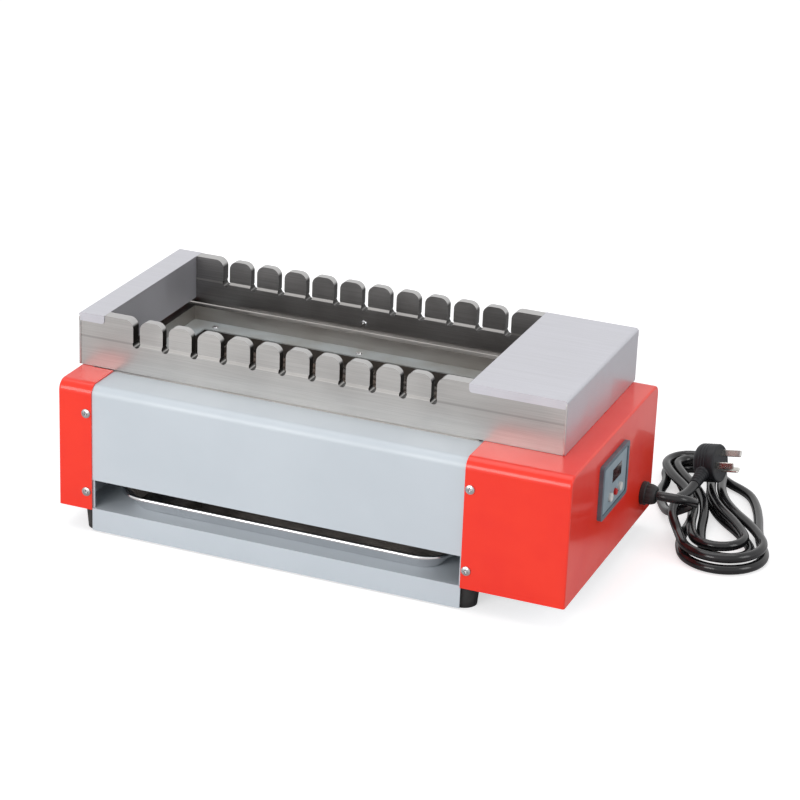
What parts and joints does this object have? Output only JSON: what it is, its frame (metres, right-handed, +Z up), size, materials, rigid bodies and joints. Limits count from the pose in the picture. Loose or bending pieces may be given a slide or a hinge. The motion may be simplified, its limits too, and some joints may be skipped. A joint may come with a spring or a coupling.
{
  "type": "electric skewer grill",
  "caption": "Table-top electric grill with a notched skewer frame over tubular heating elements, a slide-out drip tray and a side control panel",
  "frame": {"origin": "middle of the body's footprint, on the table", "axes": "+X along the length towards the control panel, +Y from the tray side to the back, +Z up"},
  "size_m": [0.6156, 0.4032, 0.195],
  "materials": {
    "red_enamel": "glossy red powder coat",
    "grey_paint": "satin light blue-grey paint",
    "stainless": "satin brushed stainless sheet",
    "polished_steel": "polished pressed steel",
    "chamber_steel": "heat-darkened stainless",
    "element_sheath": "oxidised steel tube",
    "ceramic": "white glazed ceramic",
    "screw_steel": "bright zinc plate",
    "black_rubber": "matte black rubber",
    "bezel_plastic": "satin grey plastic",
    "dark_window": "smoked display window",
    "white_button": "white moulded plastic",
    "red_button": "red moulded plastic",
    "black_plastic": "black moulded plastic",
    "board_green": "green circuit board",
    "cord_black": "glossy black cord jacket",
    "pin_nickel": "nickel-plated brass"
  },
  "bodies": {
    "chassis": {"base_pan": "grey_paint", "rubber_feet": "black_rubber", "front_panel": "grey_paint", "rear_panel": "grey_paint", "left_cap": "red_enamel", "right_cap": "red_enamel", "cap_screws": "screw_steel", "left_bulkhead": "grey_paint", "right_bulkhead": "grey_paint", "heater_deck": "grey_paint", "ledge_screws": "screw_steel", "well_liner": "stainless", "heat_chamber": "chamber_steel", "heating_element_1": "element_sheath", "heating_element_2": "element_sheath", "heating_element_3": "element_sheath", "heating_element_4": "element_sheath", "heating_element_5": "element_sheath", "element_terminals": "ceramic", "element_support": "chamber_steel", "temperature_probe": "polished_steel", "power_relay": "black_plastic", "terminal_block": "ceramic", "thermal_cutout": "ceramic", "control_bezel": "bezel_plastic", "display_window": "dark_window", "controller_housing": "black_plastic", "display_board": "board_green", "cable_gland": "black_plastic", "gland_nut": "black_plastic", "cord_lead": "cord_black", "cord_hank": "cord_black", "cord_tail": "cord_black", "plug_body": "black_plastic", "plug_pins": "pin_nickel"},
    "skewer_frame": {"front_comb_rail": "stainless", "rear_comb_rail": "stainless", "left_deck": "stainless", "right_deck": "stainless", "frame_screws": "screw_steel"},
    "tray": {"drip_tray": "polished_steel"},
    "front_button_cap": {"front_button": "white_button"},
    "middle_button_cap": {"middle_button": "red_button"},
    "rear_button_cap": {"rear_button": "white_button"}
  },
  "joints": [
    {"name": "lift_skewer_frame", "type": "slide", "parent": "chassis", "child": "skewer_frame", "axis": [0, 0, 1], "range_m": [0, 0.12]},
    {"name": "slide_tray", "type": "slide", "parent": "chassis", "child": "tray", "axis": [0, -1, 0], "range_m": [0, 0.2]},
    {"name": "press_front_button", "type": "slide", "parent": "chassis", "child": "front_button_cap", "axis": [-1, 0, 0], "range_m": [0, 0.001], "stiffness_N_per_m": 800, "springref_m": -0.001},
    {"name": "press_middle_button", "type": "slide", "parent": "chassis", "child": "middle_button_cap", "axis": [-1, 0, 0], "range_m": [0, 0.001], "stiffness_N_per_m": 800, "springref_m": -0.001},
    {"name": "press_rear_button", "type": "slide", "parent": "chassis", "child": "rear_button_cap", "axis": [-1, 0, 0], "range_m": [0, 0.001], "stiffness_N_per_m": 800, "springref_m": -0.001}
  ]
}
